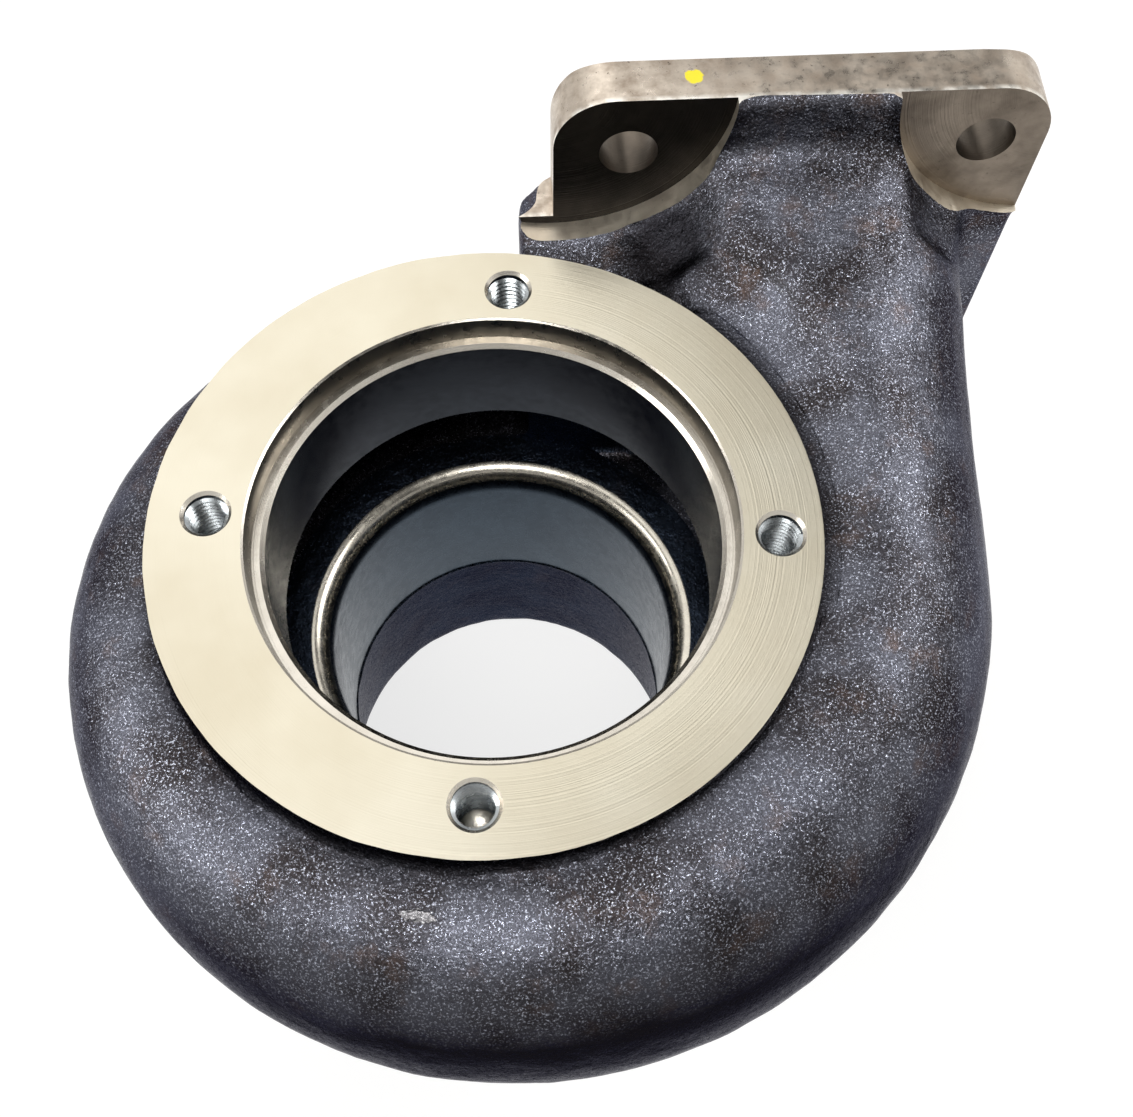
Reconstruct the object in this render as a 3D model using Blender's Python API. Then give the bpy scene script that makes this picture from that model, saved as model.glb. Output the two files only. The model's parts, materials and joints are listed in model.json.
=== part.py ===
# Turbine housing of a turbocharger: one iron casting, machined after casting.
#
# The housing stands on its outlet face. Z is the turbine axis, pointing to the
# bearing side. The inlet flange looks along +Y. The origin is the middle of the
# bottom of the whole part. Lengths are in metres.

import math

import bmesh
import bpy
from mathutils import Matrix

# Bearing-side ring
RING_FACE_HEIGHT = 0.137
RING_DIAMETER = 0.120
RING_RIM_DEPTH = 0.009
RING_UNDERCUT = 0.004
FACING_CLEARANCE = 0.0022
FACING_HEIGHT = 0.030
CASTING_SHIFT = 0.0014
RECESS_DIAMETER = 0.0878
RECESS_DEPTH = 0.005
BORE_DIAMETER = 0.0826
BORE_DEPTH = 0.028
BORE_CHAMFER = 0.0013
STUD_COUNT = 4
STUD_CIRCLE_DIAMETER = 0.1022
STUD_START_ANGLE = math.radians(-5.1)
STUD_HOLE_DIAMETER = 0.008
STUD_HOLE_DEPTH = 0.016
STUD_COUNTERSINK_DIAMETER = 0.0091
STUD_FLOOR = 0.0045

# Nozzle, wheel contour, throat and outlet
NOZZLE_WIDTH = 0.0174
NOZZLE_SLOPE = 0.0010
SLOT_REACH = 0.0062
CONTOUR_DIAMETER = 0.0784
CONTOUR_HEIGHT = 0.0065
THROAT_DIAMETER = 0.0703
THROAT_LENGTH = 0.0350
CAST_STEP = 0.0005
OUTLET_DIAMETER = 0.0814
OUTLET_WALL = 0.0060
OUTLET_LIP_WIDTH = 0.0060
OUTLET_LIP_THICKNESS = 0.0080

# Scroll
SCROLL_DEPTH = 0.0335
TONGUE_RADIUS = 0.0483
SCROLL_RATIO = 0.0248
SCROLL_ZERO_ANGLE = math.radians(-308)
SCROLL_PASSAGE_END = math.radians(-296)
SCROLL_CASTING_END = math.radians(-316)
SCROLL_ASPECT = 1.25
WALL = 0.0062

# Inlet flange and neck
FLANGE_FACE_DISTANCE = 0.0837
FLANGE_CENTRE = 0.0639
FLANGE_WIDTH = 0.0963
FLANGE_HEIGHT = 0.1190
FLANGE_CORNER_RADIUS = 0.012
FLANGE_THICKNESS = 0.0122
EAR_OVERHANG = 0.0071
EAR_HEIGHT = 0.0550
EAR_CHAMFER = 0.0050
EAR_SETBACK = 0.0030
BOLT_SPACING_X = 0.06985
BOLT_SPACING_Z = 0.0921
BOLT_HOLE_DIAMETER = 0.0114
SPOT_FACE_DEPTH = 0.0014
SPOT_FACE_RADIUS = 0.0343
SPOT_FACE_OFFSET = 0.0146
SPOT_FACE_REACH = 0.0105
NECK_WIDTH = 0.0710
NECK_HEIGHT = 0.0940
NECK_OFFSET = 0.0020
NECK_SQUARENESS = 3.2
NECK_FILLET = 0.0030
PORT_WIDTH = 0.0570
PORT_HEIGHT = 0.0710
PORT_SQUARENESS = 4.0
WEB_START = 0.030
WEB_WIDTH = 0.0285
WEB_HEIGHT = 0.0560
WEB_CHAMFER = 0.0060
WEB_FILLET = 0.0035

# Facets
TURN_STEPS = 72
HOLE_STEPS = 16
SCROLL_STEP = math.radians(9)
DUCT_STEPS = 6
CASTING_POINTS = 28
PASSAGE_POINTS = 22

# Cutters run this far past the faces they cut
OVERRUN = 0.003
# Solids that are joined reach this far into each other
OVERLAP = 0.004


def height(depth):
    """Height above the outlet face of a place so far below the ring face."""
    return RING_FACE_HEIGHT - depth


def clear_scene():
    for item in list(bpy.data.objects):
        bpy.data.objects.remove(item, do_unlink=True)


def add_object(name, bm, parent):
    """Close the mesh's winding, make it an object and hang it on the axis."""
    bmesh.ops.recalc_face_normals(bm, faces=bm.faces)
    mesh = bpy.data.meshes.new(name)
    bm.to_mesh(mesh)
    bm.free()
    item = bpy.data.objects.new(name, mesh)
    bpy.context.scene.collection.objects.link(item)
    item.parent = parent
    return item


def turned(name, profile, parent, steps=TURN_STEPS):
    """Turn a profile of (radius, height) points round Z into a solid."""
    bm = bmesh.new()
    verts = [bm.verts.new((radius, 0.0, z)) for radius, z in profile]
    edges = [bm.edges.new(pair) for pair in zip(verts, verts[1:])]
    if profile[0][0] > 0.0:
        edges.append(bm.edges.new((verts[-1], verts[0])))
    bmesh.ops.spin(bm, geom=verts + edges, cent=(0, 0, 0), axis=(0, 0, 1),
                   angle=math.tau, steps=steps, use_merge=True)
    bmesh.ops.remove_doubles(bm, verts=bm.verts, dist=0.00001)
    return add_object(name, bm, parent)


def extruded(name, outline, y_start, y_end, parent):
    """Extrude an outline of (x, z) points along Y into a solid."""
    bm = bmesh.new()
    face = bm.faces.new([bm.verts.new((x, y_start, z)) for x, z in outline])
    grown = bmesh.ops.extrude_face_region(bm, geom=[face])
    moved = [v for v in grown["geom"] if isinstance(v, bmesh.types.BMVert)]
    bmesh.ops.translate(bm, verts=moved, vec=(0, y_end - y_start, 0))
    return add_object(name, bm, parent)


def lofted(name, sections, parent):
    """Skin a row of sections that have as many points each, and cap its ends."""
    bm = bmesh.new()
    rings = [[bm.verts.new(point) for point in section] for section in sections]
    for near, far in zip(rings, rings[1:]):
        for i in range(len(near)):
            j = (i + 1) % len(near)
            bm.faces.new((near[i], near[j], far[j], far[i]))
    bm.faces.new(rings[0])
    bm.faces.new(rings[-1])
    return add_object(name, bm, parent)


def squared_ellipse(half_width, half_height, squareness, count):
    """Points of an ellipse whose corners fill out as squareness passes 2."""
    points = []
    for i in range(count):
        turn = math.tau * (i + 0.5) / count
        c, s = math.cos(turn), math.sin(turn)
        u = math.copysign(abs(c) ** (2.0 / squareness), c)
        v = math.copysign(abs(s) ** (2.0 / squareness), s)
        points.append((half_width * u, half_height * v))
    return points


def rounded_rectangle(width, height_, radius, centre, corner_steps=6):
    """Outline of (x, z) points, corners as arcs."""
    points = []
    inset_x = width / 2 - radius
    inset_z = height_ / 2 - radius
    for corner, (sx, sz) in enumerate(((1, 1), (-1, 1), (-1, -1), (1, -1))):
        for i in range(corner_steps + 1):
            turn = math.pi / 2 * (corner + i / corner_steps)
            x = centre[0] + sx * inset_x + radius * math.cos(turn)
            z = centre[1] + sz * inset_z + radius * math.sin(turn)
            points.append((x, z))
    return points


def chamfered_rectangle(left, right, low, high, chamfer):
    """Outline of (x, z) points, corners cut at 45 degrees."""
    return [(left + chamfer, low), (right - chamfer, low),
            (right, low + chamfer), (right, high - chamfer),
            (right - chamfer, high), (left + chamfer, high),
            (left, high - chamfer), (left, low + chamfer)]


def passage_half_width(angle):
    """Half width of the gas passage. Area over radius falls evenly to the end."""
    turns_left = (angle - SCROLL_ZERO_ANGLE) / math.tau
    share = max(turns_left, 0.0) * SCROLL_RATIO / math.pi
    return (share + math.sqrt(share ** 2 + 4 * share * TONGUE_RADIUS)) / 2


def scroll_section(angle, margin, count):
    """Section of the scroll in the plane at an angle, a margin outside the gas."""
    half_width = passage_half_width(angle)
    radius = TONGUE_RADIUS + half_width
    half_height = SCROLL_ASPECT * (half_width + WALL) - WALL + margin
    points = []
    for u, v in squared_ellipse(half_width + margin, half_height, 2.0, count):
        x = (radius + u) * math.cos(angle)
        y = (radius + u) * math.sin(angle)
        points.append((x, y, height(SCROLL_DEPTH) + v))
    return points


def blend(start, end, share):
    return start + (end - start) * share


def duct_sections(margin, end_width, end_height, offset, squareness, count):
    """Sections of the straight inlet duct, from the flange's back to the scroll."""
    half_width = passage_half_width(0.0)
    start_u = half_width + margin
    start_v = SCROLL_ASPECT * (half_width + WALL) - WALL + margin
    length = FLANGE_FACE_DISTANCE - FLANGE_THICKNESS
    sections = []
    for i in range(DUCT_STEPS, 0, -1):
        share = i / DUCT_STEPS
        centre = blend(TONGUE_RADIUS + half_width, FLANGE_CENTRE + offset, share)
        outline = squared_ellipse(blend(start_u, end_width / 2, share),
                                  blend(start_v, end_height / 2, share),
                                  blend(2.0, squareness, share ** 2), count)
        y = length * share
        sections.append([(centre + u, y, height(SCROLL_DEPTH) + v)
                         for u, v in outline])
    return sections


def end_section(y, width, height_, offset, squareness, count):
    """One more section of the duct, square to Y, at the flange."""
    centre = FLANGE_CENTRE + offset
    outline = squared_ellipse(width / 2, height_ / 2, squareness, count)
    return [(centre + u, y, height(SCROLL_DEPTH) + v) for u, v in outline]


def scroll_sections(last_angle, margin, count):
    steps = math.ceil(abs(last_angle) / SCROLL_STEP)
    angles = [last_angle * i / steps for i in range(steps + 1)]
    return [scroll_section(angle, margin, count) for angle in angles]


def cast_scroll(parent):
    """Outside of the scroll and neck, with a fillet where the neck meets the plate."""
    plate_back = FLANGE_FACE_DISTANCE - FLANGE_THICKNESS
    sections = [end_section(plate_back + OVERLAP, NECK_WIDTH + 2 * NECK_FILLET,
                            NECK_HEIGHT + 2 * NECK_FILLET, NECK_OFFSET,
                            NECK_SQUARENESS, CASTING_POINTS)]
    for degrees in (0, 30, 60, 90):
        turn = math.radians(degrees)
        growth = 2 * NECK_FILLET * (1 - math.sin(turn))
        y = plate_back - NECK_FILLET * (1 - math.cos(turn))
        sections.append(end_section(y, NECK_WIDTH + growth, NECK_HEIGHT + growth,
                                    NECK_OFFSET, NECK_SQUARENESS, CASTING_POINTS))
    duct = duct_sections(WALL, NECK_WIDTH, NECK_HEIGHT, NECK_OFFSET,
                         NECK_SQUARENESS, CASTING_POINTS)
    sections += duct[1:]
    sections += scroll_sections(SCROLL_CASTING_END, WALL, CASTING_POINTS)
    return lofted("cast_scroll", sections, parent)


def gas_passage(parent):
    """The hollow from the inlet port round to the end of the scroll."""
    sections = [end_section(FLANGE_FACE_DISTANCE + OVERRUN, PORT_WIDTH, PORT_HEIGHT,
                            0.0, PORT_SQUARENESS, PASSAGE_POINTS)]
    sections += duct_sections(0.0, PORT_WIDTH, PORT_HEIGHT, 0.0, PORT_SQUARENESS,
                              PASSAGE_POINTS)
    sections += scroll_sections(SCROLL_PASSAGE_END, 0.0, PASSAGE_POINTS)
    return lofted("gas_passage", sections, parent)


def cast_core(parent):
    """The round middle of the casting: ring, nozzle wall and outlet tube."""
    rim = RING_DIAMETER / 2
    waist = rim - RING_UNDERCUT
    nozzle_end = BORE_DEPTH + NOZZLE_WIDTH
    tube_top = THROAT_DIAMETER / 2 + OUTLET_WALL * 1.8
    tube_end = OUTLET_DIAMETER / 2 + OUTLET_WALL
    lip = tube_end + OUTLET_LIP_WIDTH
    profile = [(0.0, height(0.0)), (rim, height(0.0)),
               (rim, height(RING_RIM_DEPTH)),
               (waist, height(RING_RIM_DEPTH + RING_UNDERCUT)),
               (waist, height(nozzle_end + WALL)),
               (tube_top, height(nozzle_end + WALL + waist - tube_top)),
               (tube_end, OUTLET_LIP_THICKNESS + OUTLET_LIP_WIDTH / 2),
               (lip, OUTLET_LIP_THICKNESS), (lip, 0.0), (0.0, 0.0)]
    return turned("cast_core", profile, parent)


def stud_boss(parent):
    """Solid metal round the stud holes, standing into the passage's roof."""
    outer = STUD_CIRCLE_DIAMETER / 2 + STUD_HOLE_DIAMETER
    inner = BORE_DIAMETER / 2 - OVERLAP
    top = height(RING_RIM_DEPTH * 0.8)
    low = height(STUD_HOLE_DEPTH + STUD_FLOOR)
    profile = [(inner, top), (outer, top), (outer, low + STUD_FLOOR),
               (outer - STUD_FLOOR, low), (inner, low)]
    return turned("stud_boss", profile, parent)


def ear_left():
    """Left side of the ear and of the web behind it."""
    return FLANGE_CENTRE - FLANGE_WIDTH / 2 - EAR_OVERHANG


def cast_plate(parent):
    """The inlet flange's plate."""
    centre = (FLANGE_CENTRE, height(SCROLL_DEPTH))
    outline = rounded_rectangle(FLANGE_WIDTH, FLANGE_HEIGHT,
                                FLANGE_CORNER_RADIUS, centre)
    back = FLANGE_FACE_DISTANCE - FLANGE_THICKNESS
    return extruded("cast_plate", outline, back, FLANGE_FACE_DISTANCE, parent)


def cast_ear(parent):
    """The part of the plate that stands out on the tongue's side."""
    centre_z = height(SCROLL_DEPTH)
    outline = chamfered_rectangle(ear_left(), FLANGE_CENTRE,
                                  centre_z - EAR_HEIGHT / 2,
                                  centre_z + EAR_HEIGHT / 2, EAR_CHAMFER)
    back = FLANGE_FACE_DISTANCE - FLANGE_THICKNESS + EAR_SETBACK
    return extruded("cast_ear", outline, back, FLANGE_FACE_DISTANCE, parent)


def cast_web(parent):
    """Metal between the scroll's small end and the plate, flush with the ear."""
    centre_z = height(SCROLL_DEPTH)
    left = ear_left()
    plate_back = FLANGE_FACE_DISTANCE - FLANGE_THICKNESS
    sections = []
    for y, grown in ((WEB_START, 0.0), (plate_back - WEB_FILLET, 0.0),
                     (plate_back, WEB_FILLET), (plate_back + OVERLAP, WEB_FILLET)):
        half = WEB_HEIGHT / 2 + grown
        outline = chamfered_rectangle(left, left + WEB_WIDTH + grown,
                                      centre_z - half, centre_z + half,
                                      WEB_CHAMFER)
        sections.append([(x, y, z) for x, z in outline])
    return lofted("cast_web", sections, parent)


def bore_cutter(parent):
    """Everything turned about the turbine axis, from the ring to the outlet."""
    bore = BORE_DIAMETER / 2
    recess = RECESS_DIAMETER / 2
    throat = THROAT_DIAMETER / 2
    contour = CONTOUR_DIAMETER / 2
    slot = TONGUE_RADIUS + SLOT_REACH
    contour_depth = BORE_DEPTH + NOZZLE_WIDTH
    throat_end = contour_depth + CONTOUR_HEIGHT + THROAT_LENGTH
    cast_throat = throat + CAST_STEP
    outlet = OUTLET_DIAMETER / 2
    slope = (outlet - cast_throat) / height(throat_end + CAST_STEP)
    profile = [(0.0, height(-OVERRUN)), (recess, height(-OVERRUN)),
               (recess, height(RECESS_DEPTH)),
               (bore + BORE_CHAMFER, height(RECESS_DEPTH)),
               (bore, height(RECESS_DEPTH + BORE_CHAMFER)),
               (bore, height(BORE_DEPTH)), (slot, height(BORE_DEPTH)),
               (slot, height(contour_depth + NOZZLE_SLOPE))]
    for i in range(6):
        turn = math.pi / 2 * i / 5
        radius = contour - (contour - throat) * math.sin(turn)
        depth = contour_depth + CONTOUR_HEIGHT * (1 - math.cos(turn))
        profile.append((radius, height(depth)))
    profile += [(throat, height(throat_end)),
                (cast_throat, height(throat_end + CAST_STEP)),
                (outlet + slope * OVERRUN, -OVERRUN), (0.0, -OVERRUN)]
    return turned("bore_cutter", profile, parent)


def facing_cutter(parent):
    """The facing cut that leaves the ring proud of the neck beside it."""
    radius = RING_DIAMETER / 2 + FACING_CLEARANCE
    profile = [(0.0, height(-FACING_HEIGHT)), (radius, height(-FACING_HEIGHT)),
               (radius, height(0.0)), (0.0, height(0.0))]
    return turned("facing_cutter", profile, parent)


def stud_cutters(parent):
    radius = STUD_HOLE_DIAMETER / 2
    mouth = STUD_COUNTERSINK_DIAMETER / 2
    tip = radius * math.tan(math.radians(31))
    profile = [(0.0, height(-OVERRUN)), (mouth + OVERRUN, height(-OVERRUN)),
               (radius, height(mouth - radius)), (radius, height(STUD_HOLE_DEPTH)),
               (0.0, height(STUD_HOLE_DEPTH + tip))]
    cutters = []
    for i in range(STUD_COUNT):
        angle = STUD_START_ANGLE + math.tau * i / STUD_COUNT
        cutter = turned(f"stud_cutter_{i + 1}", profile, parent, HOLE_STEPS)
        cutter.location.x += STUD_CIRCLE_DIAMETER / 2 * math.cos(angle)
        cutter.location.y += STUD_CIRCLE_DIAMETER / 2 * math.sin(angle)
        cutters.append(cutter)
    return cutters


def y_cylinder(name, radius, centre, y_start, y_end, steps, parent):
    outline = []
    for i in range(steps):
        turn = math.tau * (i + 0.5) / steps
        outline.append((centre[0] + radius * math.cos(turn),
                        centre[1] + radius * math.sin(turn)))
    return extruded(name, outline, y_start, y_end, parent)


def flange_cutters(parent):
    """Bolt holes through the plate, and the spot faces behind them."""
    floor = FLANGE_FACE_DISTANCE - FLANGE_THICKNESS + SPOT_FACE_DEPTH
    cutters = []
    for i, (sx, sz) in enumerate(((-1, 1), (1, 1), (1, -1), (-1, -1))):
        x = FLANGE_CENTRE + sx * BOLT_SPACING_X / 2
        z = height(SCROLL_DEPTH) + sz * BOLT_SPACING_Z / 2
        face_centre = (x + sx * SPOT_FACE_OFFSET, z + sz * SPOT_FACE_OFFSET)
        cutters.append(y_cylinder(f"spot_face_{i + 1}", SPOT_FACE_RADIUS, face_centre,
                                  floor - SPOT_FACE_REACH, floor, 48, parent))
        cutters.append(y_cylinder(f"bolt_cutter_{i + 1}", BOLT_HOLE_DIAMETER / 2,
                                  (x, z), floor - OVERRUN,
                                  FLANGE_FACE_DISTANCE + OVERRUN, HOLE_STEPS, parent))
    return cutters


def combine(target, tool, operation, crosses_itself=False):
    """Join or cut with a Boolean modifier, and leave the tool as a guide."""
    step = target.modifiers.new(tool.name, "BOOLEAN")
    step.operation = operation
    step.solver = "EXACT"
    step.use_self = crosses_itself
    step.object = tool
    tool.hide_render = True
    tool.display_type = "WIRE"


def iron_material():
    """Dark sand-cast iron."""
    material = bpy.data.materials.new("cast_iron")
    material.use_nodes = True
    shader = material.node_tree.nodes["Principled BSDF"]
    shader.inputs["Base Color"].default_value = (0.045, 0.043, 0.048, 1.0)
    shader.inputs["Metallic"].default_value = 0.7
    shader.inputs["Roughness"].default_value = 0.5
    return material


def centre_on_origin(axis, items):
    """Move the axis so that the middle of the whole part stands on the origin."""
    points = [item.matrix_local @ v.co for item in items for v in item.data.vertices]
    for k in (0, 1):
        low = min(point[k] for point in points)
        high = max(point[k] for point in points)
        axis.location[k] = -(low + high) / 2


def build():
    clear_scene()
    axis = bpy.data.objects.new("turbine_axis", None)
    bpy.context.scene.collection.objects.link(axis)

    housing = cast_scroll(axis)
    housing.name = "turbine_housing"
    core = cast_core(axis)
    plate = cast_plate(axis)
    ear = cast_ear(axis)
    web = cast_web(axis)
    passage = gas_passage(axis)
    boss = stud_boss(axis)
    cast = [housing, core, plate, ear, web, passage]
    for item in cast:
        item.data.transform(Matrix.Translation((-CASTING_SHIFT, 0, 0)))

    # The scroll's small end runs into the neck, so the first step also joins those.
    combine(housing, core, "UNION", crosses_itself=True)
    for item in (web, plate, ear):
        combine(housing, item, "UNION")
    combine(housing, passage, "DIFFERENCE")
    combine(housing, boss, "UNION")
    turned_cuts = [facing_cutter(axis), bore_cutter(axis)]
    for cutter in turned_cuts + stud_cutters(axis) + flange_cutters(axis):
        combine(housing, cutter, "DIFFERENCE")

    centre_on_origin(axis, [housing, core, plate, ear, web])
    housing.data.materials.append(iron_material())
    housing.data.shade_smooth()
    housing.data.set_sharp_from_angle(angle=math.radians(30))


build()
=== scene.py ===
# %% [markdown]
# A turbine housing is a rough iron casting that is machined only where other
# parts meet it. This lesson follows the foundry and the machine shop. First the
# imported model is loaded, which gives every size and place. Then the casting is
# made a little too thick wherever a tool will cut it, as a foundry does. Last
# come the cuts, and each cut leaves its own kind of bright surface.

# %% Load the frame
import json
import math

import bpy
from mathutils import Matrix, Vector


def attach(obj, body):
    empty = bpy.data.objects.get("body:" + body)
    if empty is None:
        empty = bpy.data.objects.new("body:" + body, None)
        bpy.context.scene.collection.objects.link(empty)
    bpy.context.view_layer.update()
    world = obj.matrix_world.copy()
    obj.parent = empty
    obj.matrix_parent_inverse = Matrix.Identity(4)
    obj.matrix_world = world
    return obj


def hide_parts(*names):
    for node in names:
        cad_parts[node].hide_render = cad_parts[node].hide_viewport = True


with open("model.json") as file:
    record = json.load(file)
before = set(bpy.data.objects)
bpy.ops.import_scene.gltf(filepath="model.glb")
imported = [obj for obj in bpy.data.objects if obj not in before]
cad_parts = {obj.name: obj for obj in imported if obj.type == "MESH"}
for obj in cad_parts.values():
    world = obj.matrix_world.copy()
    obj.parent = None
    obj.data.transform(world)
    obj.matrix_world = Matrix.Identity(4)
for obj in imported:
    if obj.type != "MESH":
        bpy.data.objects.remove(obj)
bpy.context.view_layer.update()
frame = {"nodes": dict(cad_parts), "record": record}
NODE = "turbine_housing"

# %% [markdown]
# Everything is placed from two lines: the turbine axis, which stands upright,
# and the flat face of the inlet flange. The record states both, as the middle
# of the bearing bore and as the inlet face's mount, so they are read from it.
# Depths below are measured down from the bearing ring's face, in metres.

# %% Read the driving places
record = frame["record"]
mounts = {mount["name"]: Vector(mount["pos_m"]) for mount in record["mounts"]}
bore_box = next(item["box_m"] for item in record["physics"]["openings"]
                if item["name"] == "bearing_bore")
AXIS = Vector(((bore_box[0][0] + bore_box[1][0]) / 2,
               (bore_box[0][1] + bore_box[1][1]) / 2, 0.0))
RING_Z = mounts["bearing_face"].z
INLET_Y = mounts["inlet_face"].y
SCROLL_Z = RING_Z - 0.0335
CAST_SHIFT = -0.0014
FLANGE_X = AXIS.x + 0.0639
FLANGE_BACK_Y = INLET_Y - 0.0122
print("axis", AXIS, "ring face", RING_Z, "inlet face", INLET_Y)

# %% [markdown]
# The camera stands where the photographer stood: in front, high up, looking
# down at the bearing ring at about 64 degrees. The lens has a focal length of
# 1358.86 pixels over an image 1133 pixels wide, which is 43.2 mm on a 36 mm
# sensor. The matrix is built from three directions, because a camera looks down
# its own -Z with +Y up.

# %% Camera
IMAGE_WIDTH = 1133
FOCAL_PIXELS = 1358.86
SENSOR_WIDTH = 36.0
YAW, ELEVATION, ROLL = math.radians(4.3), math.radians(63.91), math.radians(1.26)
CAMERA_FROM_RING = Vector((0.00479, -0.11197, 0.21375))

forward = Vector((math.sin(YAW), math.cos(YAW), 0.0))
level = Vector((math.cos(YAW), -math.sin(YAW), 0.0))
back = -math.cos(ELEVATION) * forward + math.sin(ELEVATION) * Vector((0, 0, 1))
above = back.cross(level)
side = math.cos(ROLL) * level + math.sin(ROLL) * above
top = -math.sin(ROLL) * level + math.cos(ROLL) * above
turn = Matrix((side, top, back)).transposed().to_4x4()

bpy.ops.object.camera_add()
camera = bpy.context.object
camera.name = "camera"
camera.matrix_world = (Matrix.Translation(AXIS + Vector((0, 0, RING_Z))
                                          + CAMERA_FROM_RING) @ turn)
camera.data.sensor_width = SENSOR_WIDTH
camera.data.lens = FOCAL_PIXELS / IMAGE_WIDTH * SENSOR_WIDTH
camera.data.clip_start = 0.01
bpy.context.scene.camera = camera
print("lens in mm:", round(camera.data.lens, 2))

# %% [markdown]
# Each tool and each lump of stock is an ordinary primitive, shaped by hand in
# edit mode. Operators act on whatever is selected, so every helper starts by
# deselecting all. Places go into the mesh at the end, which leaves each object
# at the origin, where the patterns of its materials stay put.

# %% Modelling helpers
Y = 1


def deselect():
    if bpy.context.object and bpy.context.object.mode != "OBJECT":
        bpy.ops.object.mode_set(mode="OBJECT")
    bpy.ops.object.select_all(action="DESELECT")


def activate(item):
    deselect()
    item.select_set(True)
    bpy.context.view_layer.objects.active = item


def settle(name):
    """Name the active object and put its place and size into its mesh."""
    item = bpy.context.object
    item.name = name
    bpy.ops.object.transform_apply(location=True, rotation=True, scale=True)
    return item


def block(name, low, high, bevel=0.0, lengthways=None, segments=6):
    """A box between two corners; the edges that run one way are rounded."""
    deselect()
    centre = (Vector(low) + Vector(high)) / 2
    bpy.ops.mesh.primitive_cube_add(size=1.0, location=centre)
    bpy.context.object.scale = Vector(high) - Vector(low)
    item = settle(name)
    if bevel:
        edges = item.data.edges
        verts = item.data.vertices
        for edge in edges:
            run = verts[edge.vertices[0]].co - verts[edge.vertices[1]].co
            edge.select = abs(run.normalized()[lengthways]) > 0.99
        bpy.ops.object.mode_set(mode="EDIT")
        bpy.ops.mesh.select_mode(type="EDGE")
        bpy.ops.mesh.bevel(offset=bevel, segments=segments, affect="EDGES")
        bpy.ops.object.mode_set(mode="OBJECT")
    return item


def rod(name, radius, centre, low, high, steps=64):
    """A cylinder round a centre, between two places along Y."""
    deselect()
    start, end = Vector((centre.x, low, centre.z)), Vector((centre.x, high, centre.z))
    run = end - start
    tilt = run.to_track_quat("Z", "Y").to_euler()
    bpy.ops.mesh.primitive_cylinder_add(vertices=steps, radius=radius,
                                        depth=run.length, rotation=tilt,
                                        location=(start + end) / 2)
    return settle(name)


def turned(name, profile, centre, steps=128):
    """Extrude a point along a profile of (radius, height), then spin it."""
    deselect()
    bpy.ops.mesh.primitive_plane_add(size=0.01)
    bpy.ops.object.mode_set(mode="EDIT")
    bpy.ops.mesh.select_mode(type="VERT")
    bpy.ops.mesh.select_all(action="SELECT")
    bpy.ops.mesh.merge(type="CENTER")
    radius, z = profile[0]
    bpy.ops.transform.translate(value=(radius, 0, z))
    for next_radius, next_z in profile[1:]:
        step = (next_radius - radius, 0, next_z - z)
        bpy.ops.mesh.extrude_region_move(TRANSFORM_OT_translate={"value": step})
        radius, z = next_radius, next_z
    bpy.ops.mesh.select_all(action="SELECT")
    bpy.ops.mesh.spin(steps=steps, angle=math.tau, center=(0, 0, 0), axis=(0, 0, 1))
    bpy.ops.mesh.select_all(action="SELECT")
    bpy.ops.mesh.remove_doubles(threshold=0.00001)
    bpy.ops.mesh.normals_make_consistent(inside=False)
    bpy.ops.object.mode_set(mode="OBJECT")
    bpy.context.object.location = centre
    return settle(name)


def cut(target, tools, transfer=False):
    """Cut with each tool in turn, then throw the tools away."""
    for tool in tools:
        activate(target)
        step = target.modifiers.new("step", "BOOLEAN")
        step.operation = "DIFFERENCE"
        step.solver = "EXACT"
        step.object = tool
        if transfer:
            step.material_mode = "TRANSFER"
        bpy.ops.object.modifier_apply(modifier=step.name)
        bpy.data.objects.remove(tool, do_unlink=True)


def joined(name, items):
    """Several separate tools as one object, so that one cut uses them all."""
    deselect()
    for item in items:
        item.select_set(True)
    bpy.context.view_layer.objects.active = items[0]
    bpy.ops.object.join()
    items[0].name = name
    return items[0]


# %% [markdown]
# The foundry's job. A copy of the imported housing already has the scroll, the
# neck and the gas passage. Its bores and spot faces are filled up again with
# stock, and the ring and plate are made thicker, so that the machining later
# has something to cut. The lumps only overlap: a voxel remesh melts all of them
# into one skin, and smoothing rounds every inner corner, as sand moulds do. The
# round stock is made as sleeves, because a remesh fills a hollow that has no
# way out, and the gas passage has to stay open.

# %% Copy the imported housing
activate(frame["nodes"][NODE])
bpy.ops.object.duplicate(linked=False)
casting = bpy.context.object
casting.name = "housing_casting"
bpy.ops.object.mode_set(mode="EDIT")
bpy.ops.mesh.select_all(action="SELECT")
bpy.ops.mesh.remove_doubles(threshold=0.000001)
bpy.ops.object.mode_set(mode="OBJECT")
print("faces in the copy:", len(casting.data.polygons))

# %% Sizes of the flange, the neck and the spot faces
STOCK = 0.003
RING_RADIUS = 0.060
PLATE_LEFT, PLATE_RIGHT = FLANGE_X - 0.04955, FLANGE_X + 0.04675
PLATE_LOW, PLATE_TOP = SCROLL_Z - 0.0595, SCROLL_Z + 0.0595
PLATE_CORNER = 0.012
NECK_X = FLANGE_X + 0.0020 + CAST_SHIFT
NECK_HALF = Vector((0.0348, 0.0460))
cast_axis = AXIS + Vector((CAST_SHIFT, 0, 0))
SPOT_RADIUS, SPOT_REACH, SPOT_DEPTH = 0.0343, 0.0105, 0.0014
SPOT = Vector((0.0495, 0, 0.06065))
SPOT_FLOOR = FLANGE_BACK_Y + SPOT_DEPTH
CORNERS = {"upper_left": (-1, 1), "upper_right": (1, 1),
           "lower_left": (-1, -1), "lower_right": (1, -1)}
spot_centres = {name: Vector((FLANGE_X + sx * SPOT.x, 0, SCROLL_Z + sz * SPOT.z))
                for name, (sx, sz) in CORNERS.items()}
print("spot faces at", spot_centres)

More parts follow.
